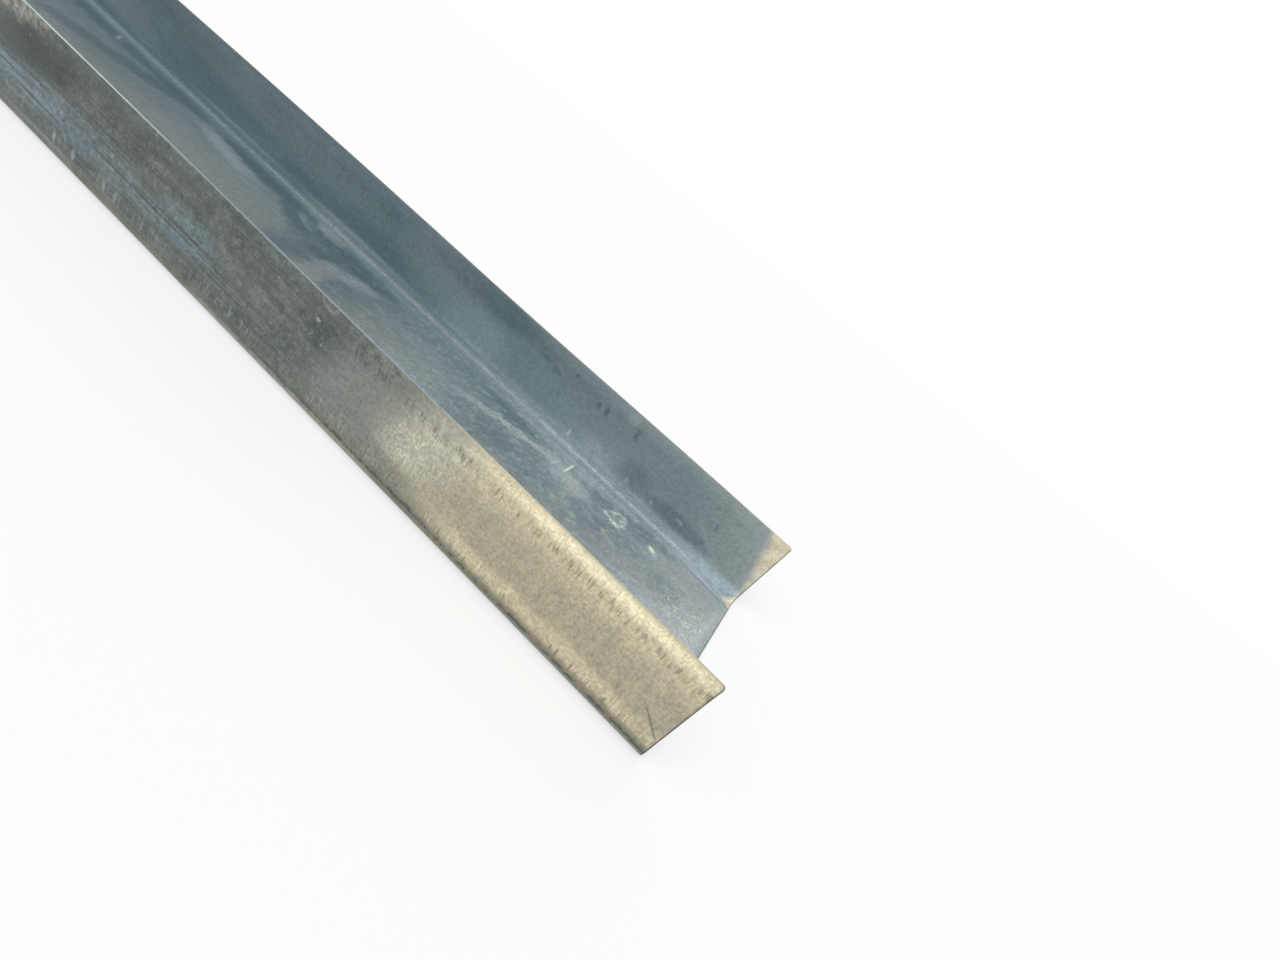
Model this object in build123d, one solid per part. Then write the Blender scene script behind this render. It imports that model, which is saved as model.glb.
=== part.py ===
from build123d import *
import os

# A length of light zinc-coated steel channel, bent from one sheet into a U.
# Millimetres. +X runs along the length, +Z is up out of the trough, and the
# underside of the web lies on Z = 0.

# Stock
stock_length = 1219.0
sheet = 0.84

# Section
web_clear = 92.1
flange_height = 31.75
inner_bend = 3.2

# Last strip of each flange, turned slightly out so that a stud slips in
lip_height = 5.5
lip_flare = 0.6
lip_bend = 30.0

# Softened corners where the shears crossed the flange tips
snipped_corner = 1.0

# Worked out from the above
half_web = web_clear / 2 + sheet
outer_bend = inner_bend + sheet
lip_start = flange_height - lip_height

os.makedirs("parts", exist_ok=True)

with BuildPart() as channel:
    with BuildSketch(Plane.YZ) as section:
        with BuildLine():
            # Outside face of the sheet, as one open line from tip to tip
            outside = Polyline(
                (-half_web - lip_flare, flange_height),
                (-half_web, lip_start),
                (-half_web, 0),
                (half_web, 0),
                (half_web, lip_start),
                (half_web + lip_flare, flange_height),
            )
            corners = outside.vertices().group_by(Axis.Y)
            fillet(corners[0], outer_bend)
            fillet(corners[1], lip_bend)
            # The sheet's thickness is laid to the inside of that line
            offset(amount=sheet, side=Side.LEFT)
        make_face()
    extrude(amount=stock_length / 2, both=True)

    # The tip corners at the two cut ends
    tips = channel.faces().filter_by(Axis.X).edges().sort_by(Axis.Z)[-4:]
    fillet(tips, snipped_corner)

channel.part.label = "channel"
export_step(channel.part, "parts/channel.step")
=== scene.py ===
import math

import bmesh
import bpy
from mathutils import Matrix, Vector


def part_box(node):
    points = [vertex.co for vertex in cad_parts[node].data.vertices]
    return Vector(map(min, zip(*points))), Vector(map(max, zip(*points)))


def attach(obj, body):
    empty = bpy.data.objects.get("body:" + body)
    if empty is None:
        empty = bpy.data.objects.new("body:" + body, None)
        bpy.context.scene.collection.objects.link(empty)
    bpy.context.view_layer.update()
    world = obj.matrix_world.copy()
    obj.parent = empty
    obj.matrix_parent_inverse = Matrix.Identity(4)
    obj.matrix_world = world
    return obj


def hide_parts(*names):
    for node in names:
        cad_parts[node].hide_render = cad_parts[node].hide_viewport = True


# A length of light zinc-coated steel channel, lying on its web on a pale floor.
# Metres. +X runs along the length, and the cut end that the camera looks past
# is the one at +X.

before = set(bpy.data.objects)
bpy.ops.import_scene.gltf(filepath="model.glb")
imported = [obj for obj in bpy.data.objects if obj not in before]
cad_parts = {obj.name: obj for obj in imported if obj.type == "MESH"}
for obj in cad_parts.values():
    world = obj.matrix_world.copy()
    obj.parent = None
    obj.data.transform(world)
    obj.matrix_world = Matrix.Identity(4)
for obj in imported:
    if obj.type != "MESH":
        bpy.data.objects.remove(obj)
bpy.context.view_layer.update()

MM = 0.001
low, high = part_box("channel")

# Sheet and section. FOLD is how far the flanges' outer faces stand from the middle.
SHEET = 0.84 * MM
INNER_BEND = 3.2 * MM
OUTER_BEND = INNER_BEND + SHEET
LIP_HEIGHT = 5.5 * MM
LIP_FLARE = 0.6 * MM
LIP_BEND = 30.0 * MM
SNIPPED_CORNER = 1.0 * MM
EDGE_ROUNDING = 0.07 * MM
TIP = 31.75 * MM
FOLD = high.y - LIP_FLARE

# The far cut stands a hair inside the box, so that nothing of the thickened sheet
# passes it
NEAR_END = high.x
FAR_END = low.x
FAR_CUT = FAR_END + 0.05 * MM

# How finely the sheet is divided: steps round a bend, a lip and a snipped corner,
# and cuts along the length, across the web and up a flange
BEND_STEPS = 12
LIP_STEPS = 4
CORNER_STEPS = 4
LENGTH_CUTS = 120
WEB_CUTS = 9
FLANGE_CUTS = 5

# What cutting and handling have done to this length: the near cut leans, and
# the near flange springs inward away from the cut ends
CUT_LEAN = math.radians(3.16)
TOE_IN = 4.0 * MM
TOE_IN_RUN = 500 * MM

# Where the far flange's tip bows inward: distance back from the near end, reach
# along the length, and depth
TIP_BOWS = (
    (132 * MM, 60 * MM, 1.5 * MM),
    (385 * MM, 55 * MM, 1.0 * MM),
    (640 * MM, 90 * MM, 1.3 * MM),
    (930 * MM, 80 * MM, 0.9 * MM),
)
DEEPEST_BOW = max(depth for place, reach, depth in TIP_BOWS)


# Modelling helpers

def start_clean():
    """Nothing is selected, so an operator acts only on the piece it is meant for."""
    if bpy.context.object and bpy.context.object.mode != "OBJECT":
        bpy.ops.object.mode_set(mode="OBJECT")
    for thing in bpy.context.selected_objects:
        thing.select_set(False)


def choose(piece, kind, wanted):
    """Selects the corners, edges or faces of a piece in edit mode that the rule picks."""
    kinds = ("corners", "edges", "faces")
    bpy.context.tool_settings.mesh_select_mode = [kind == each for each in kinds]
    form = bmesh.from_edit_mesh(piece.data)
    groups = dict(zip(kinds, (form.verts, form.edges, form.faces)))
    for group in groups.values():
        for part in group:
            part.select = False
    for part in groups[kind]:
        part.select = wanted(part)
    form.select_flush_mode()
    bmesh.update_edit_mesh(piece.data)


def middle(edge):
    return (edge.verts[0].co + edge.verts[1].co) / 2


def runs(edge, axis):
    """Whether an edge lies along an axis: 0 for X, 1 for Y, 2 for Z."""
    way = edge.verts[1].co - edge.verts[0].co
    return abs(way[axis]) > 0.99 * way.length


def near(a, b):
    return abs(a - b) < 0.05 * MM


def finish_with(piece, kind, **settings):
    """Adds a modifier to a piece and applies it."""
    bpy.context.view_layer.objects.active = piece
    modifier = piece.modifiers.new(kind.lower(), kind)
    for name, value in settings.items():
        setattr(modifier, name, value)
    bpy.ops.object.modifier_apply(modifier=modifier.name)


def weigh(piece, name, rule):
    """A vertex group whose weight at each point comes from the rule."""
    group = piece.vertex_groups.new(name=name)
    for point in piece.data.vertices:
        group.add([point.index], max(0.0, min(1.0, rule(point.co))), "REPLACE")
    return name


# The sheet

def fold_strip():
    """The web, flanges and lips as a strip without thickness, a little too long, left in edit mode."""
    start_clean()
    spare = 10 * MM
    bpy.ops.mesh.primitive_plane_add(size=1, location=(0, 0, 0))
    sheet = bpy.context.object
    sheet.name = "channel_sheet"
    bpy.ops.object.mode_set(mode="EDIT")
    bpy.ops.transform.resize(value=(NEAR_END - FAR_END + spare, 2 * FOLD, 1))

    choose(sheet, "edges", lambda e: runs(e, 0))
    bpy.ops.mesh.extrude_region_move(TRANSFORM_OT_translate={"value": (0, 0, TIP - LIP_HEIGHT)})
    bpy.ops.mesh.extrude_region_move(TRANSFORM_OT_translate={"value": (0, 0, LIP_HEIGHT)})
    for side in (-1, 1):
        choose(sheet, "edges", lambda e: runs(e, 0) and near(middle(e).z, TIP) and middle(e).y * side > 0)
        bpy.ops.transform.translate(value=(0, side * LIP_FLARE, 0))

    choose(sheet, "edges", lambda e: runs(e, 0) and near(middle(e).z, 0))
    bpy.ops.mesh.bevel(offset_type="OFFSET", offset=OUTER_BEND, segments=BEND_STEPS,
                       profile=0.5, affect="EDGES")
    choose(sheet, "edges", lambda e: runs(e, 0) and near(middle(e).z, TIP - LIP_HEIGHT))
    lip_turn = math.atan2(LIP_FLARE, LIP_HEIGHT)
    bpy.ops.mesh.bevel(offset_type="OFFSET", offset=LIP_BEND * math.tan(lip_turn / 2), segments=LIP_STEPS,
                       profile=0.5, affect="EDGES")
    return sheet


def divide(sheet):
    """Cuts along the length and across the flats, so that the flanges can bow."""
    choose(sheet, "edges", lambda e: runs(e, 0))
    bpy.ops.mesh.subdivide(number_cuts=LENGTH_CUTS)
    choose(sheet, "edges", lambda e: runs(e, 1) and e.calc_length() > FOLD)
    bpy.ops.mesh.subdivide(number_cuts=WEB_CUTS)
    choose(sheet, "edges", lambda e: runs(e, 2) and e.calc_length() > LIP_HEIGHT * 2)
    bpy.ops.mesh.subdivide(number_cuts=FLANGE_CUTS)


def cut_ends(sheet):
    """The near cut leans and the far one is square. The tips' corners are snipped."""
    leaning = (math.cos(CUT_LEAN), 0, -math.sin(CUT_LEAN))
    for place, facing in (((NEAR_END, 0, TIP), leaning), ((FAR_CUT, 0, 0), (-1, 0, 0))):
        choose(sheet, "faces", lambda f: True)
        bpy.ops.mesh.bisect(plane_co=place, plane_no=facing, clear_outer=True)

    def at_cut_tip(corner):
        x, y, z = corner.co
        return near(z, TIP) and (near(x, NEAR_END) or near(x, FAR_CUT))

    choose(sheet, "corners", at_cut_tip)
    bpy.ops.mesh.bevel(offset_type="OFFSET", offset=SNIPPED_CORNER, segments=CORNER_STEPS,
                       affect="VERTICES")


def toed_in(at):
    """How far the near flange leans in at a point, as a share of the most."""
    from_end = min(NEAR_END - at.x, at.x - FAR_END, TOE_IN_RUN)
    return (at.z / TIP) * math.sin(math.pi / 2 * from_end / TOE_IN_RUN) if at.y < 0 else 0


def bowed_in(at):
    """How far the far flange bows in at a point, as a share of the most."""
    back = NEAR_END - at.x
    bow = sum(depth * math.exp(-((back - place) / reach) ** 2) for place, reach, depth in TIP_BOWS)
    return (at.z / TIP) * bow / DEEPEST_BOW if at.y > 0 else 0


def bend_channel():
    """The channel: a strip folded and cut, its flanges sprung, then given its thickness."""
    sheet = fold_strip()
    divide(sheet)
    cut_ends(sheet)
    choose(sheet, "faces", lambda f: True)
    bpy.ops.mesh.flip_normals()
    bpy.ops.object.mode_set(mode="OBJECT")

    for name, rule, most in (("toe_in", toed_in, TOE_IN), ("bowed_in", bowed_in, -DEEPEST_BOW)):
        finish_with(sheet, "DISPLACE", direction="Y", strength=most, mid_level=0,
                    vertex_group=weigh(sheet, name, rule))
    finish_with(sheet, "SOLIDIFY", thickness=SHEET, offset=-1, use_even_offset=True)
    finish_with(sheet, "BEVEL", width=EDGE_ROUNDING, segments=2, limit_method="ANGLE",
                angle_limit=math.radians(60))
    bpy.ops.object.shade_smooth_by_angle(angle=math.radians(35))
    return sheet


# Shader helpers

def paint(red, green, blue):
    """A colour given as 0 to 255 on screen, as the shader's linear value."""
    def linear(value):
        value = value / 255
        return value / 12.92 if value <= 0.04045 else ((value + 0.055) / 1.055) ** 2.4
    return (linear(red), linear(green), linear(blue), 1)


class Signal:
    """A socket of a node tree. Arithmetic on it adds Math nodes."""

    def __init__(self, finish, socket):
        self.finish = finish
        self.socket = socket

    def math(self, operation, *values):
        return self.finish.node("ShaderNodeMath", {"operation": operation}, dict(enumerate(values)))

    def __add__(self, other):
        return self.math("ADD", self, other)

    def __radd__(self, other):
        return self.math("ADD", other, self)

    def __sub__(self, other):
        return self.math("SUBTRACT", self, other)

    def __rsub__(self, other):
        return self.math("SUBTRACT", other, self)

    def __mul__(self, other):
        return self.math("MULTIPLY", self, other)

    def __rmul__(self, other):
        return self.math("MULTIPLY", other, self)

    def __abs__(self):
        return self.math("ABSOLUTE", self)

    def highest(self, other):
        return self.math("MAXIMUM", self, other)

    def step(self, start, end, before, after):
        """The number before up to start, the number after from end on, and a soft change between them.

        A smooth step keeps between its two numbers by itself, so it needs no clamp.
        """
        return self.finish.node("ShaderNodeMapRange", {"interpolation_type": "SMOOTHSTEP", "clamp": False},
                                {"Value": self, "From Min": start, "From Max": end,
                                 "To Min": before, "To Max": after})

    def rise(self, start, end):
        return self.step(start, end, 0.0, 1.0)

    def fall(self, start, end):
        return self.step(start, end, 1.0, 0.0)

    def strip(self, start, end, soft):
        """1 between start and end, with soft sides."""
        half = (end - start) / 2
        return abs(self - (start + end) / 2).fall(half - soft, half + soft)


class Finish:
    """The node tree of a material or world, and the few kinds of node that it is drawn with."""

    def __init__(self, owner):
        owner.use_nodes = True
        self.tree = owner.node_tree

    def node(self, kind, settings, sockets, gives=0):
        """A new node with its settings and its sockets' values or links. Gives one of its outputs."""
        made = self.tree.nodes.new(kind)
        for name, value in settings.items():
            setattr(made, name, value)
        for name, value in sockets.items():
            self.feed(made.inputs[name], value)
        return Signal(self, made.outputs[gives])

    def feed(self, socket, value):
        if isinstance(value, Signal):
            self.tree.links.new(value.socket, socket)
        else:
            socket.default_value = value

    def fill(self, name, sockets):
        """Feeds sockets of a node that the tree starts with."""
        for socket, value in sockets.items():
            self.feed(self.tree.nodes[name].inputs[socket], value)

    def split(self, vector):
        return [self.node("ShaderNodeSeparateXYZ", {}, {0: vector}, axis) for axis in range(3)]

    def lay(self, under, over, cover, blend="MIX"):
        """One colour laid over another where cover is 1."""
        return self.node("ShaderNodeMix", {"data_type": "RGBA", "blend_type": blend},
                         {0: cover, 6: under, 7: over}, 2)

    def shade(self, colour, amount):
        """A colour made lighter or darker by a number round 1."""
        return self.lay(colour, amount, 1.0, "MULTIPLY")

    def noise(self, seat, grain, detail=2.0, rough=0.5, warp=0.0, seed=0):
        """Noise from 0 to 1. Its grains are as long along each axis as grain says, in millimetres."""
        scaled = self.node("ShaderNodeMapping", {},
                           {"Vector": seat, "Location": (seed, seed, seed),
                            "Scale": [1 / (length * MM) for length in grain]})
        return self.node("ShaderNodeTexNoise", {},
                         {"Vector": scaled, "Scale": 1.0, "Detail": detail, "Roughness": rough,
                          "Distortion": warp})

    def mark(self, face, at, size, turn=0.0, soft=0.5, strength=1.0):
        """An oval mark on a face: its strength inside, 0 outside.

        Size is half its length and half its width in millimetres, turn its bearing in degrees.
        """
        along, across = face
        lean = math.radians(turn)
        ways = ((math.cos(lean), math.sin(lean), size[0]), (-math.sin(lean), math.cos(lean), size[1]))
        reach = 0.0
        for x, y, half in ways:
            part = (along - at[0]) * (x / half) + (across - at[1]) * (y / half)
            reach = part.math("MULTIPLY_ADD", part, part, reach)
        return reach.step(max(0.0, 1 - soft) ** 2, (1 + soft) ** 2, strength, 0.0)

    def marks(self, face, listed, soft=0.5):
        """Several marks as one mask. Each is at, size, turn and strength."""
        total = 0.0
        for at, size, turn, strength in listed:
            total = self.mark(face, at, size, turn, soft, strength).highest(total)
        return total

    def dab(self, tone, colour, *mark):
        """A tone with one oval mark of another colour laid on it."""
        return self.lay(tone, colour, self.mark(*mark))


# Tones of the coating, as they look on screen
ZINC_BRIGHT = paint(172, 180, 182)
ZINC = paint(136, 146, 149)
ZINC_COOL = paint(120, 133, 136)
ZINC_DEEP = paint(84, 103, 110)
ZINC_BLUE = paint(158, 174, 187)
OLIVE = paint(92, 100, 97)
OLIVE_DEEP = paint(65, 77, 75)
OLIVE_PALE = paint(118, 126, 122)
TAN = paint(184, 175, 149)
TAN_DULL = paint(168, 161, 139)
TAN_BRIGHT = paint(202, 193, 163)
CREAM = paint(244, 235, 201)
GREY_CREAM = paint(181, 181, 170)
STREAK_BLUE = paint(106, 126, 135)
SHADE_LINE = paint(62, 73, 74)
DASH = paint(120, 114, 96)


class Strip:
    """Where a point lies on the strip of steel, in millimetres, and the grain of its coating.

    u is the distance back from the near end, w across from the near flange's outer
    face, z up, and v down from the tips of the flanges.
    """

    def __init__(self, f):
        self.seat = f.node("ShaderNodeTexCoord", {}, {}, "Object")
        x, y, z = f.split(self.seat)
        self.u = (NEAR_END - x) * (1 / MM)
        self.w = (FOLD + y) * (1 / MM)
        self.z = z * (1 / MM)
        self.v = TIP / MM - self.z
        facing = f.split(f.node("ShaderNodeTexCoord", {}, {}, "Normal"))
        self.facing_y, self.facing_z = facing[1:]

        self.hair = f.noise(self.seat, (0.42, 3.0, 3.0), detail=3, rough=0.7)
        self.comb = f.noise(self.seat, (0.8, 22, 22), detail=1)
        self.fleck = f.noise(self.seat, (0.9, 0.8, 0.8), detail=3, rough=0.75)
        self.mottle = f.noise(self.seat, (2.4, 2.0, 2.0), detail=4, rough=0.65)
        self.stain = f.noise(self.seat, (4.5, 3.2, 3.2), seed=7)
        self.blotch = f.noise(self.seat, (11, 8, 8), detail=3, rough=0.55, warp=0.4)
        self.cloud = f.noise(self.seat, (46, 24, 24), warp=0.6)
        self.drawn = f.noise(self.seat, (30, 0.8, 0.8), detail=3, rough=0.65)
        self.swirl = f.noise(self.seat, (90, 22, 22), detail=3, rough=0.55, warp=1.6, seed=11)
        self.jitter = f.noise(self.seat, (0.7, 60, 60), detail=2, rough=0.7)

        # The faces as places to put marks on, and the same with an uneven push of a few millimetres
        push = f.noise(self.seat, (7, 6, 6), seed=3) - 0.5
        nudge = f.noise(self.seat, (6, 7, 7), seed=5) - 0.5
        self.on_flange = (self.u, self.v)
        self.on_web = (self.u, self.w)
        self.rough_flange = (self.u + 5 * push, self.v + 4 * nudge)
        self.rough_web = (self.u + 9 * push, self.w + 7 * nudge)


def trough_floor(f, s):
    """The web seen from above: pale at the cut, then cloudy blue-grey, with painted reflections as dark
    pools and pale gleams further back.
    """
    back = s.u + 14 * (s.blotch - 0.5)
    tone = f.lay(ZINC_BRIGHT, ZINC, back.rise(8, 62))
    tone = f.lay(tone, ZINC_COOL, back.rise(55, 125))
    tone = f.lay(tone, ZINC_DEEP, s.blotch.rise(0.5, 0.72) * 0.3 * s.u.rise(20, 60))

    # Painted reflections, laid as dark pools in the zinc
    painted_reflection_pools = f.marks(s.rough_web, [
        ((107, 80), (18, 5.2), 4, 0.5),
        ((63, 78), (3.6, 6), 0, 0.4),
        ((44, 80), (5, 4.5), 0, 0.3),
        ((48, 67), (12, 5), -20, 0.25),
        ((24, 64), (5.5, 6.5), 20, 0.3),
        ((113, 59), (17, 6), 0, 0.3),
        ((42, 85), (12, 2.6), 0, 0.5),
        ((183, 56), (10, 8), 0, 0.35),
        ((214, 64), (8, 13), 10, 0.95),
        ((207, 79), (25, 8), 4, 0.95),
        ((238, 76), (22, 4.5), 27, 0.9),
        ((274, 86), (34, 6), 2, 1.0),
        ((335, 86), (22, 5), 0, 1.0),
        ((355, 72), (36, 6), -21, 0.95),
        ((365, 70), (85, 11), 0, 0.2),
        ((398, 79), (34, 9), 0, 0.45),
        ((390, 85.8), (44, 5), 0, 1.0),
    ], 0.5)
    elsewhere = s.u.rise(400, 470).highest(s.w.fall(38, 50))
    painted_reflection_pools = painted_reflection_pools.highest(s.swirl.rise(0.5, 0.68) * elsewhere * 0.6)
    tone = f.lay(tone, ZINC_DEEP, painted_reflection_pools)

    # Painted highlights, laid as pale gleams
    painted_gleams = f.marks(s.rough_web, [
        ((148, 60), (26, 10), 0, 0.45),
        ((76, 73.5), (9, 4.5), 18, 0.75),
        ((86, 79), (9, 3.4), 10, 0.45),
        ((104, 73), (20, 2.0), -14, 0.4),
        ((84, 86.5), (28, 2.6), 0, 0.4),
        ((72, 62), (6, 3), 60, 0.25),
        ((199, 58), (4, 12), -18, 0.45),
        ((196, 69.5), (13, 3.4), -30, 0.6),
        ((239, 80.8), (7, 1.1), 26, 0.35),
        ((229, 86.8), (7, 2.6), 15, 0.4),
        ((286, 77), (16, 3.4), 10, 0.5),
        ((268, 61), (44, 8), 0, 0.35),
        ((384, 86), (4, 0.6), 29, 0.7),
    ], 0.8)
    painted_gleams = painted_gleams.highest(s.swirl.fall(0.32, 0.48) * elsewhere * 0.4)
    tone = f.lay(tone, ZINC_BRIGHT, painted_gleams * 0.75)
    flecked = (0.6 * s.mottle + 0.4 * s.stain).rise(0.5, 0.64) * s.u.fall(60, 300)
    tone = f.lay(tone, paint(176, 186, 186), flecked * 0.4)
    smear = f.mark(s.rough_web, (103, 73.2), (19, 1.8), -15, 0.9) * s.mottle.rise(0.36, 0.5)
    tone = f.lay(tone, paint(176, 183, 179), smear * 0.65)
    tone = f.dab(tone, paint(172, 176, 170), s.rough_web, (74, 74), (7, 3.2), 24, 0.5, 0.45)
    tone = scuffs_by_cut(f, s, tone)

    # Painted light: the trough is painted paler towards the walls, to stand against the shade that the
    # walls cast
    by_cut, further = s.u.fall(16, 60), s.u.rise(118, 140)
    painted_lift_by_walls = s.w.rise(58, 78) * (0.34 - 0.24 * by_cut - 0.12 * further) + 0.2 * s.w.rise(85, 90)
    tone = f.shade(tone, 0.97 + painted_lift_by_walls * (1 - 0.5 * s.u.rise(340, 480)))
    return f.shade(tone, 1 - 0.2 * s.u.rise(125, 175) * s.w.fall(60, 80))


def scuffs_by_cut(f, s, tone):
    """Scuffs, drips and dried rings on the web near the cut end, a painted glint, and a painted shade line
    where the bend begins.
    """
    curl = f.noise(s.seat, (6, 5, 5), warp=2.2)
    curls = abs(curl - 0.5).fall(0.006, 0.05) * s.fleck.rise(0.42, 0.54)
    swirled = f.mark(s.on_web, (11.5, 60), (10, 11), 0, 0.6) * curls
    tone = f.lay(tone, paint(222, 225, 208), swirled * 0.88)
    whole = f.mark(s.rough_web, (54, 77.4), (5.2, 4.4), 0, 0.25)
    ring = whole - f.mark(s.rough_web, (54.6, 77.6), (3.0, 2.3), 0, 0.5)
    broken = s.mottle.rise(0.44, 0.54) * s.fleck.rise(0.38, 0.5)
    tone = f.lay(tone, paint(212, 218, 212), ring * (0.25 + 0.75 * broken))
    tone = f.dab(tone, paint(190, 190, 172), s.rough_web, (51.5, 64.5), (1.8, 1.6), 0, 0.9, 0.4)
    # A painted glint: a bright warm core with a bluish halo
    tone = f.dab(tone, paint(196, 208, 216), s.on_web, (35.6, 77.9), (2.6, 1.4), 38, 0.7, 0.6)
    tone = f.dab(tone, paint(255, 240, 200), s.on_web, (36.8, 78.7), (1.5, 0.8), 34, 0.5)
    tone = f.dab(tone, paint(170, 174, 168), s.rough_web, (16, 79), (16, 9.5), 0, 0.25, 0.4)
    tone = f.dab(tone, paint(226, 232, 228), s.on_web, (80.6, 80.6), (0.5, 4.3), -6, 0.5, 0.8)
    tone = f.dab(tone, paint(180, 192, 202), s.on_web, (85.2, 77.2), (0.6, 2.9), 0, 0.6, 0.6)
    # Painted shade: a thin dark line where the web turns into the bend
    tone = f.dab(tone, ZINC_DEEP, s.on_web, (15, 86.8), (12, 0.4), 6, 0.8, 0.55)
    tone = f.lay(tone, ZINC_BLUE, s.u.fall(4, 12) * 0.35)
    return f.lay(tone, ZINC, s.u.fall(3.2, 5.2) * 0.5)


def trough_bend(f, s):
    """The rounded corner between the web and the far flange: a painted gleam with a fine painted highlight
    line.
    """
    tone = f.lay(paint(138, 149, 154), paint(124, 135, 138), s.u.rise(14, 50))
    tone = f.lay(tone, paint(102, 116, 119), s.u.rise(90, 180))
    tone = f.lay(tone, ZINC_DEEP, s.u.rise(240, 268) * 0.9)
    # A pale bluish painted gleam by the cut
    tone = f.lay(tone, paint(150, 165, 178), s.u.fall(14, 34) * s.mottle.rise(0.36, 0.5) * 0.5)
    # Painted light: lighter where the corner faces the flange and where it faces the web
    tone = f.shade(tone, 0.97 + 0.6 * s.facing_z.fall(0.1, 0.6) + 0.5 * s.facing_z.rise(0.85, 0.99))
    # A fine painted highlight line along the corner
    line = s.v.strip(29.5, 30.5, 0.45) * s.u.rise(10, 30) * s.fleck.rise(0.34, 0.5)
    return f.lay(tone, paint(176, 189, 190), line * (0.42 - 0.22 * s.u.rise(50, 130)))


def far_flange_inside(f, s):
    """The far flange seen from the trough: smooth and cloudy, with painted reflections and highlights, and
    a painted warm reflection as a wedge at the cut end.
    """
    back = s.u + 12 * (s.blotch - 0.5)
    tone = f.lay(paint(142, 152, 154), paint(134, 145, 148), back.rise(14, 44))
    tone = f.lay(tone, paint(122, 139, 143), back.rise(60, 150))
    tone = f.lay(tone, paint(108, 126, 133), back.rise(140, 220))

    # Small dark spots, with painted reflections as larger soft dark patches and, further back, swirls
    dark_marks_and_reflections = f.marks(s.rough_flange, [
        ((37, 22.8), (14, 2.8), 0, 0.5),
        ((61, 20.5), (6, 4.6), 0, 0.4),
        ((152, 4.6), (26, 4.6), 0, 0.5),
        ((212, 20.5), (30, 4.5), 0, 0.25),
        ((262, 23), (12, 2), 0, 0.4),
        ((310, 17), (60, 5), 3, 0.1),
        ((24.7, 13.2), (0.9, 1.4), 0, 0.5),
        ((69.7, 6.8), (1.0, 2.4), 0, 0.5),
        ((75.8, 20.7), (1.4, 0.9), 0, 0.4),
        ((85.2, 8.0), (0.9, 1.6), 8, 0.7),
        ((89.3, 8.0), (0.8, 1.3), 0, 0.6),
        ((102.8, 5.7), (0.9, 0.8), 0, 0.6),
        ((111, 9), (1.8, 1.0), 0, 0.5),
        ((118.5, 8), (2.2, 0.9), 0, 0.45),
    ], 0.6)
    further = s.u.rise(330, 420)
    tone = f.lay(tone, ZINC_DEEP, dark_marks_and_reflections.highest(s.swirl.rise(0.5, 0.64) * further * 0.5))
    # Painted highlights: pale gleams with a few bright specks, and bands along the bend
    painted_gleams = f.marks(s.rough_flange, [
        ((36.7, 22.4), (1.3, 0.7), 0, 0.6),
        ((50.2, 24.0), (0.7, 0.7), 0, 0.6),
        ((63.6, 24.3), (0.6, 0.8), 0, 0.8),
        ((93.3, 25.0), (0.6, 1.6), 0, 1.0),
        ((79, 23), (6, 2.4), 0, 0.45),
        ((74.7, 3.2), (2.6, 1.4), 20, 0.45),
        ((24, 20), (7, 0.8), -32, 0.35),
        ((152, 20), (14, 8), 0, 0.35),
        ((175, 12), (22, 8), 0, 0.25),
        ((280, 10), (60, 6), -2, 0.2),
    ], 0.8)
    by_bend = f.marks(s.on_flange, [
        ((222, 27.2), (26, 1.3), 0, 0.6),
        ((305, 27.2), (24, 1.1), 0, 0.5),
    ], 0.8)
    painted_gleams = painted_gleams.highest(by_bend).highest(s.swirl.fall(0.36, 0.48) * further * 0.4)
    tone = f.lay(tone, ZINC_BRIGHT, painted_gleams * 0.75)
    # A painted bluish highlight just above the bend by the cut
    tone = f.lay(tone, ZINC_BLUE, s.v.rise(25, 28) * s.u.fall(10, 60) * 0.3)
    # Painted light: the face is painted lighter overall, a little less by the cut, and lighter still just
    # above the bend
    painted_light_level = 1.24 - 0.12 * s.u.fall(30, 75) * s.v.rise(8, 14)
    back_half = s.u.rise(150, 200)
    painted_lift_by_bend = (s.v + 2 * (s.mottle - 0.5) - 2 * back_half).rise(24, 28) * (0.45 - 0.15 * back_half)
    tone = f.shade(tone, painted_light_level + painted_lift_by_bend - 0.14 * s.v.fall(1, 4) * s.u.rise(60, 120))
    tone = f.shade(tone, 1 - 0.18 * s.v.fall(1, 3.5) - 0.03 * s.v.fall(6, 12)
                   - 0.1 * s.v.fall(2, 8) * s.u.rise(230, 290))
    # A painted warm reflection, as a wedge at the cut end
    reflection_wedge = (s.u + 0.27 * s.v + 2.4 * (s.mottle - 0.5)).fall(6.2, 11.2)
    warm_reflection = f.lay(paint(226, 218, 188), paint(208, 200, 170), s.stain.rise(0.45, 0.6))
    return f.lay(tone, warm_reflection, reflection_wedge * 0.92)


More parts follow.
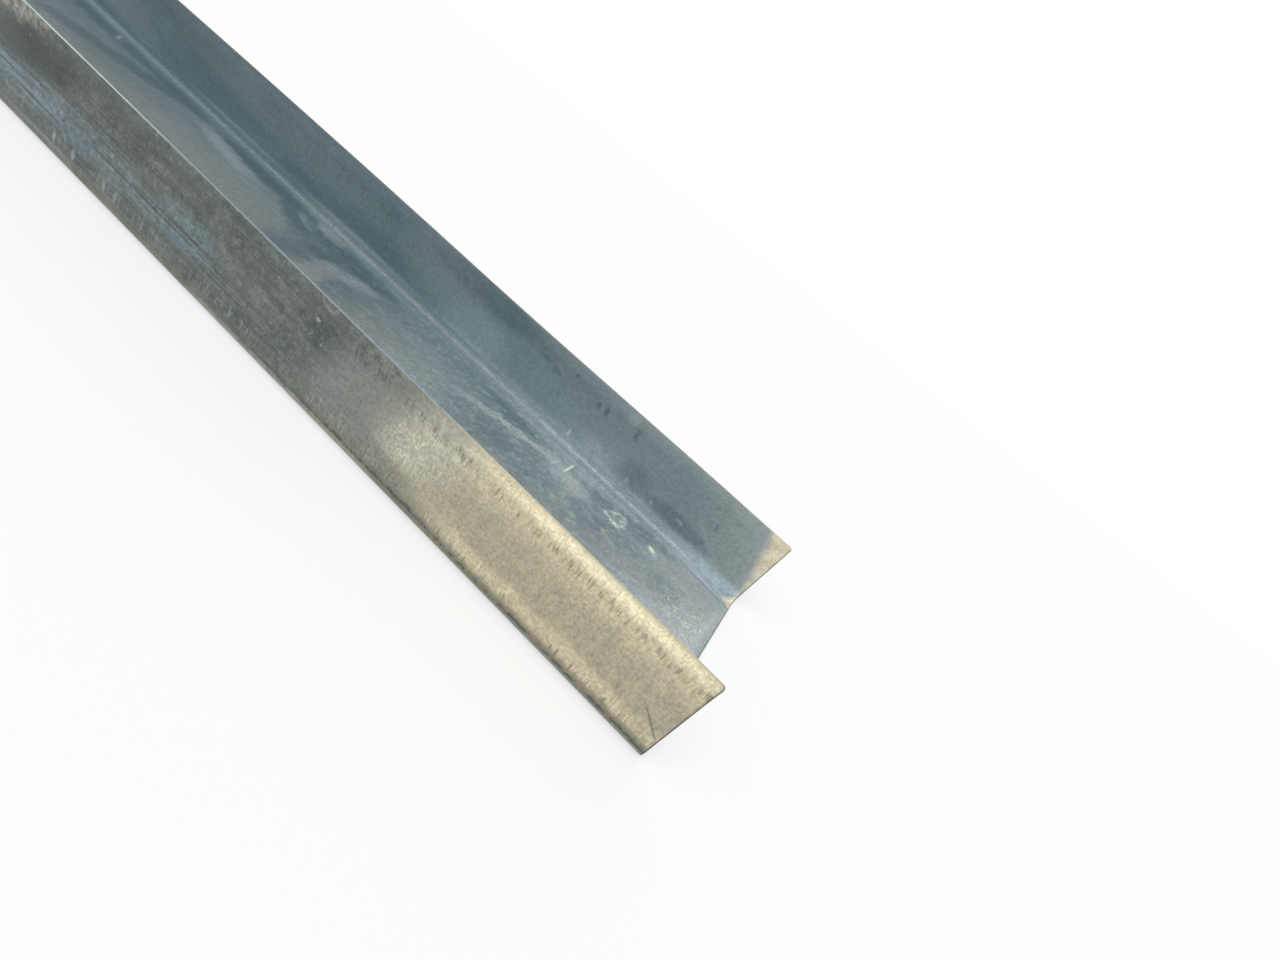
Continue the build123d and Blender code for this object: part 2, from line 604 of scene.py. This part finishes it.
def warm_tan(f, s):
    """The near flange by the cut: tan, with painted highlights along the corner and, nearly white, on the
    lip.
    """
    tan = f.lay(TAN, TAN_DULL, (s.v + 6 * (s.blotch - 0.5)).rise(8, 14) * s.v.fall(20, 23))
    tarnish = 0.5 * s.mottle + 0.5 * s.stain
    tan = f.lay(tan, paint(146, 146, 130), tarnish.rise(0.48, 0.6) * 0.34)
    tan = f.lay(tan, paint(186, 175, 143), tarnish.fall(0.4, 0.5) * 0.2)
    # Painted highlight along the lower corner
    lit_corner = (s.v + 3 * (s.mottle - 0.5)).strip(22.6, 26.0, 1.2)
    tan = f.lay(tan, TAN_BRIGHT, lit_corner * (0.35 + 0.35 * s.mottle.rise(0.42, 0.6)))
    # Painted highlights below the lip and, nearly white, on it
    tan = f.lay(tan, TAN_BRIGHT, s.v.fall(5.5, 10) * 0.7)
    tan = f.lay(tan, TAN_DULL, s.v.rise(20, 24) * s.u.fall(3, 14) * 0.5)
    lit_lip = (s.v + 4.0 * (s.hair - 0.5) + 2.4 * (s.comb - 0.5)).fall(1.8, 4.9)
    return f.lay(tan, CREAM, lit_lip * (0.5 + 0.45 * s.u.strip(8, 60, 10)) * (1 - 0.4 * s.v.fall(0.4, 1.6)))


def dull_olive(f, s):
    """The near flange further back: dull olive, with bluish streaks drawn along it."""
    olive = f.lay(OLIVE, OLIVE_DEEP, s.blotch.rise(0.5, 0.7) * 0.5)
    olive = f.lay(olive, OLIVE_PALE, s.blotch.fall(0.32, 0.48) * 0.4)
    olive = f.lay(olive, OLIVE_PALE, s.mottle.rise(0.52, 0.66) * 0.4)
    olive = f.lay(olive, OLIVE_DEEP, s.mottle.fall(0.36, 0.48) * 0.25)
    olive = f.lay(olive, OLIVE_PALE, s.drawn.rise(0.54, 0.7) * 0.35 * s.u.rise(110, 170))
    olive = f.lay(olive, OLIVE_DEEP, s.drawn.fall(0.34, 0.48) * (0.25 + 0.45 * s.u.rise(130, 190)))
    streaks = f.marks(s.rough_flange, [
        ((185, 15.5), (9, 4), 0, 0.6),
        ((177, 18), (7, 0.8), 0, 0.9),
        ((196, 19), (18, 2.2), 0, 0.7),
        ((218, 18.3), (10, 3.6), 0, 0.7),
        ((222, 13), (1.0, 2.6), 0, 0.9),
        ((236, 18.5), (11, 4), 0, 0.75),
        ((264, 18.4), (26, 3.8), 0, 1.0),
    ], 0.7)
    streaks = streaks.highest(s.swirl.rise(0.45, 0.65) * s.v.strip(8, 24, 5) * s.u.rise(280, 320) * 0.7)
    broken = s.drawn.rise(0.36, 0.54) * (0.5 + 0.5 * s.mottle.rise(0.4, 0.55))
    olive = f.lay(olive, STREAK_BLUE, streaks * broken)
    olive = f.lay(olive, paint(132, 150, 158), streaks * s.u.rise(235, 262) * s.drawn.rise(0.46, 0.6) * 0.6)
    olive = f.lay(olive, paint(152, 163, 168), streaks * s.mottle.rise(0.6, 0.7) * 0.6)
    olive = f.dab(olive, OLIVE_DEEP, s.on_flange, (218, 18.2), (10, 0.35), 0, 0.5, 0.8)
    olive = f.dab(olive, paint(52, 65, 61), s.rough_flange, (264, 10), (17, 4.8), 6, 0.6, 0.9)
    olive = f.shade(olive, 1 - 0.14 * s.u.rise(190, 240) - 0.2 * s.v.fall(4, 10) * s.u.rise(185, 232))
    # Painted shade: a darker strip below the turned lip
    olive = f.shade(olive, 1 - 0.1 * s.v.fall(9, 13) * s.v.rise(0, 4) * s.u.rise(112, 140))
    olive = f.lay(olive, paint(164, 168, 158), s.fleck.rise(0.64, 0.73) * s.v.fall(8, 24) * 0.7)
    worn = f.mark(s.rough_flange, (273, 1.0), (14, 3.2), 8, 0.8) * s.mottle.rise(0.3, 0.62)
    return f.lay(olive, paint(158, 158, 146), worn * 0.7)


def near_flange_outside(f, s):
    """The near flange's outer face: tan that gives way to olive, with what marks both."""
    tan = warm_tan(f, s)
    olive = dull_olive(f, s)

    # Where the tan gives way: further back at mid height than along the lip and the corner
    ends_at = 85 + 23 * s.v.rise(-2, 14) - 29 * s.v.rise(17, 25)
    speckled = 8 * (s.blotch - 0.5) + 20 * (s.mottle - 0.5) + 14 * (s.fleck - 0.5)
    lingers = 0.24 * s.v.rise(18, 23) * s.u.fall(100, 145) + 0.08 * s.v.fall(3, 7) * s.u.fall(96, 125)
    border = (s.u - ends_at + speckled).rise(-15, 14) * (1 - lingers)
    tone = cloudy_border(f, s, f.lay(tan, olive, border))
    tone = roll_marks(f, s, tone, border)
    tone = turned_corner(f, s, tone)
    tone = f.dab(tone, SHADE_LINE, s.on_flange, (5.2, 21), (3.6, 0.28), -38, 0.8, 0.5)
    nicks = f.marks(s.on_flange, [
        ((200, 25.2), (0.5, 1.2), 0, 0.7),
        ((213.2, 25.0), (0.5, 1.3), 10, 0.7),
        ((218.8, 25.0), (0.6, 1.4), 14, 0.9),
        ((234.4, 25.1), (0.7, 1.3), 12, 0.9),
        ((244, 25.3), (0.6, 1.4), 10, 1.0),
        ((252, 27.7), (19, 0.35), 0, 0.6),
    ], 0.6)
    return f.lay(tone, paint(146, 158, 162), nicks * 0.7)


def cloudy_border(f, s, tone):
    """Pale patches where the tan gives way to the olive."""
    slant = s.u - 0.5 * (s.v - 12) + 7 * (s.mottle - 0.5) + 4 * (s.hair - 0.5)
    patch = slant.rise(70, 92) * slant.fall(97, 103) * s.v.strip(1, 20, 4)
    tone = f.lay(tone, GREY_CREAM, patch * 0.6)
    crossed = s.hair.rise(0.46, 0.6).highest(s.mottle.rise(0.5, 0.6)) * s.fleck.rise(0.42, 0.54)
    # Painted glints on the pale patch
    glint = f.lay(paint(190, 196, 192), paint(216, 212, 192), s.u.rise(84, 94))
    tone = f.lay(tone, glint, patch * crossed * 0.45)
    pale = slant.strip(97, 124, 7) * s.v.strip(5, 24, 4)
    tone = f.lay(tone, paint(129, 136, 131), pale * 0.7)
    whole = f.mark(s.on_flange, (130.5, 0.4), (3.0, 2.0), -8, 0.2)
    hook = whole - f.mark(s.on_flange, (130.8, 0.1), (2.3, 1.4), -8, 0.3)
    tone = f.lay(tone, paint(150, 155, 148), hook * 0.4)
    tone = f.dab(tone, paint(172, 174, 162), s.on_flange, (132.5, 6.6), (0.7, 0.5), 0, 0.5, 0.7)
    dulled = s.v.fall(3, 8) * s.u.strip(74, 118, 12) * s.mottle.rise(0.38, 0.56)
    return f.lay(tone, paint(134, 139, 134), dulled * 0.5)


def roll_marks(f, s, tone, border):
    """Marks left across the strip by the rolls that turned the lip and the corner."""
    nip = (s.v + 4 * (s.comb - 0.5) + 2 * (s.mottle - 0.5)).strip(4.4, 6.5, 0.4)
    dashes = nip * s.jitter.rise(0.51, 0.57) * (0.45 + 0.55 * s.stain.rise(0.38, 0.54)) * s.u.fall(112, 136)
    tone = f.lay(tone, f.lay(DASH, OLIVE_DEEP, border), dashes * 0.68)
    strokes = s.v.fall(5, 8) * s.u.strip(88, 140, 12) * s.hair.rise(0.5, 0.58)
    tone = f.lay(tone, paint(94, 96, 86), strokes * 0.36)
    tick_row = (s.v + 2 * (s.jitter - 0.5) + 2 * (s.mottle - 0.5)).strip(23.6, 26.2, 0.6)
    ticks = tick_row * s.comb.rise(0.54, 0.64) * s.hair.rise(0.42, 0.54)
    tick_tone = f.lay(paint(222, 214, 186), paint(138, 146, 144), border)
    tone = f.lay(tone, tick_tone, ticks * (0.55 - 0.3 * s.u.rise(200, 230)))
    pits = (s.v + 4 * (s.jitter - 0.5)).strip(25.2, 27.0, 0.4) * s.comb.fall(0.34, 0.42)
    return f.lay(tone, DASH, pits * s.u.fall(60, 110) * 0.8)


def turned_corner(f, s, tone):
    """The corner turns under: painted shade, then a broken painted shadow line where it meets the ground.
    """
    patchy = f.noise(s.seat, (3.4, 60, 60), detail=3)
    depth = s.v + 1.2 * (s.mottle - 0.5) + 1.4 * (patchy - 0.5)
    # Painted shade where the corner turns under
    tone = f.lay(tone, paint(120, 117, 102), depth.rise(25.8, 27.7) * (0.85 - 0.5 * s.u.rise(84, 130)))
    ragged = (0.5 * patchy + 0.5 * s.mottle).rise(0.46, 0.52).highest(s.u.fall(5, 9))
    # A broken painted shadow line where the corner meets the ground
    line = (depth + 0.6 * s.u.rise(66, 80)).strip(28.0, 29.0, 0.3)
    line = line * (0.2 + 0.8 * ragged) * (0.8 - 0.3 * s.u.rise(100, 140) - 0.4 * s.u.rise(150, 210))
    tone = f.lay(tone, SHADE_LINE, line)
    crumbs = s.v.rise(28.1, 28.5) * s.u.strip(98, 172, 10) * s.mottle.rise(0.34, 0.5)
    return f.lay(tone, paint(160, 156, 138), crumbs * 0.6)


def hidden_sides(f, s):
    """The faces turned away: the same coating, cloudy and scuffed, with no warm tint."""
    tone = f.lay(paint(122, 134, 138), paint(104, 117, 122), s.cloud.rise(0.4, 0.62))
    tone = f.lay(tone, paint(92, 108, 115), s.swirl.rise(0.52, 0.6) * 0.5)
    tone = f.lay(tone, paint(150, 161, 165), s.blotch.rise(0.52, 0.72) * 0.4)
    tone = f.lay(tone, paint(140, 150, 152), s.drawn.rise(0.55, 0.7) * 0.35)
    # The rolls mark the far flange as they do the near one
    nip = (s.v + 5 * (s.jitter - 0.5) + 2 * (s.mottle - 0.5)).strip(4.1, 6.0, 0.5) * s.hair.rise(0.48, 0.57)
    tone = f.lay(tone, paint(84, 94, 97), nip * 0.6)
    corner = (s.v + 2 * (s.jitter - 0.5)).strip(23.6, 26.2, 0.6) * s.comb.rise(0.54, 0.64)
    return f.lay(tone, paint(160, 170, 174), corner * 0.5)


def zinc_coated_steel():
    """Light sheet with a rolled zinc coating, uneven in tone, with painted highlights, reflections and
    shade.
    """
    material = bpy.data.materials.new("zinc_coated_steel")
    f = Finish(material)
    s = Strip(f)

    outward = (0 - s.facing_y).rise(0.4, 0.8)
    far_half = s.w.rise(40, 54)
    above_web = s.facing_z.rise(0.2, 0.6) * s.z.fall(8, 12)
    turning = s.facing_z.rise(0.02, 0.12).highest(s.v.rise(26.4, 28.4))
    in_bend = s.w.rise(88, 90) * turning * s.z.fall(5, 8)
    in_corner = s.facing_y.fall(0.1, 0.3)

    colour = hidden_sides(f, s)
    colour = f.lay(colour, trough_floor(f, s), above_web)
    colour = f.lay(colour, far_flange_inside(f, s), outward * far_half)
    colour = f.lay(colour, trough_bend(f, s), in_bend * in_corner * 0.95)
    # A painted warm highlight on the far corner by the cut
    cream_highlight = (s.u + 1.4 * abs(s.w - 89.5) + 2.4 * (s.mottle - 0.5)).fall(5.0, 8.4) * s.z.fall(4, 6)
    colour = f.lay(colour, CREAM, cream_highlight * in_corner * s.fleck.rise(0.36, 0.5) * 0.85)
    colour = f.lay(colour, near_flange_outside(f, s), outward * (1 - far_half))

    # Sheared edges: a painted reflection along the tips' tops, tan by the cut and pale further back on the
    # near tip, darker on the far tip; the cut ends are painted dark
    tip_top = s.facing_z.rise(0.5, 0.8) * s.z.rise(20, 24)
    tip_top_tone = f.lay(paint(186, 175, 146), paint(124, 138, 142), s.u.rise(66, 100))
    tip_top_tone = f.lay(tip_top_tone, paint(178, 190, 188), s.u.rise(180, 250))
    tip_top_tone = f.lay(tip_top_tone, paint(104, 98, 84), far_half * s.u.rise(14, 30) * 0.9)
    colour = f.lay(colour, tip_top_tone, tip_top)
    from_cut = s.u - s.v * math.tan(CUT_LEAN)
    colour = f.lay(colour, SHADE_LINE, from_cut.fall(0.15, 0.65) * 0.8)

    near_side = outward * s.w.fall(40, 54)
    clouds = (s.mottle - 0.5) * (0.65 - 0.2 * outward * far_half - 0.13 * near_side)
    speckle = (s.fleck - 0.5) * (0.8 + 0.45 * near_side + 0.3 * above_web)
    strokes = (s.hair - 0.5) * (0.4 + 0.2 * near_side)
    lines = (s.drawn - 0.5) * (0.12 + 0.4 * near_side * s.u.rise(70, 120))
    colour = f.shade(colour, 1 + clouds + speckle + strokes + lines)
    rough = 0.42 + 0.3 * (s.blotch - 0.5) + 0.2 * (s.drawn - 0.5) + 0.2 * in_bend
    relief = 0.6 * s.hair + 0.4 * s.drawn + 0.5 * s.mottle
    bump = f.node("ShaderNodeBump", {}, {"Height": relief, "Strength": 0.3, "Distance": 0.06 * MM})
    f.fill("Principled BSDF", {"Base Color": colour, "Metallic": 0.45, "Roughness": rough, "Normal": bump})
    return material


channel = bend_channel()
channel.data.materials.append(zinc_coated_steel())
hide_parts("channel")
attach(channel, "root")


# Floor, light and camera

WHITE = (1, 1, 1, 1)
FLOOR_TONE = (0.94, 0.94, 0.94, 1)
FLOOR_GLOW = 0.6
FLOOR_WIDTH = 40
FLOOR_GAP = 0.2 * MM
STUDIO_LIGHT = 0.5


def seen_as_backdrop(f):
    """1 for what the camera sees, also in a gloss or through glass, and 0 for light on its way."""
    ways = ("Is Camera Ray", "Is Glossy Ray", "Is Transmission Ray")
    seen, mirrored, through = [f.node("ShaderNodeLightPath", {}, {}, way) for way in ways]
    return seen.highest(mirrored).highest(through)


def pale_floor():
    """A matt floor that looks nearly white and still takes the object's shadow."""
    material = bpy.data.materials.new("pale_floor")
    f = Finish(material)
    f.fill("Principled BSDF", {"Base Color": FLOOR_TONE, "Roughness": 0.9})
    lit = Signal(f, f.tree.nodes["Principled BSDF"].outputs["BSDF"])
    bright = f.node("ShaderNodeEmission", {}, {"Color": WHITE, "Strength": 1.0})
    mixed = f.node("ShaderNodeMixShader", {}, {0: FLOOR_GLOW * seen_as_backdrop(f), 1: lit, 2: bright})
    f.fill("Material Output", {"Surface": mixed})
    return material


start_clean()
bpy.ops.mesh.primitive_plane_add(size=FLOOR_WIDTH, location=(0, 0, -FLOOR_GAP))
floor = bpy.context.object
floor.name = "floor"
floor.data.materials.append(pale_floor())


def studio_world():
    """A white surround that lights the object softly and looks plain white."""
    world = bpy.data.worlds.new("studio")
    bpy.context.scene.world = world
    f = Finish(world)
    strength = STUDIO_LIGHT + (1 - STUDIO_LIGHT) * seen_as_backdrop(f)
    f.fill("Background", {"Color": WHITE, "Strength": strength})


def soft_sun(name, lean, turn, spread, strength):
    """Even light from one side: lean is its angle from straight down, turn its bearing, in degrees."""
    lamp = bpy.data.lights.new(name, "SUN")
    lamp.angle = math.radians(spread)
    lamp.energy = strength
    held = bpy.data.objects.new(name, lamp)
    bpy.context.scene.collection.objects.link(held)
    held.rotation_euler = (math.radians(lean), 0, math.radians(turn))


studio_world()
soft_sun("key", 38, -20, 50, 1.7)
soft_sun("fill", -50, 15, 60, 0.4)

# The camera fitted to the photo: its focal length is in pixels of the picture's width
FOCAL_PIXELS = 578.066
PICTURE_WIDTH = 1280
FILM_WIDTH = 36

lens = bpy.data.cameras.new("photo_view")
lens.sensor_width = FILM_WIDTH
lens.lens = FILM_WIDTH * FOCAL_PIXELS / PICTURE_WIDTH
lens.clip_start = 0.005
camera = bpy.data.objects.new("photo_view", lens)
bpy.context.scene.collection.objects.link(camera)
camera.location = (0.5864, -0.1542, 0.1015)
camera.rotation_euler = [math.radians(a) for a in (60.577, -34.76, 27.878)]
bpy.context.scene.camera = camera
bpy.context.scene.view_settings.view_transform = "Standard"
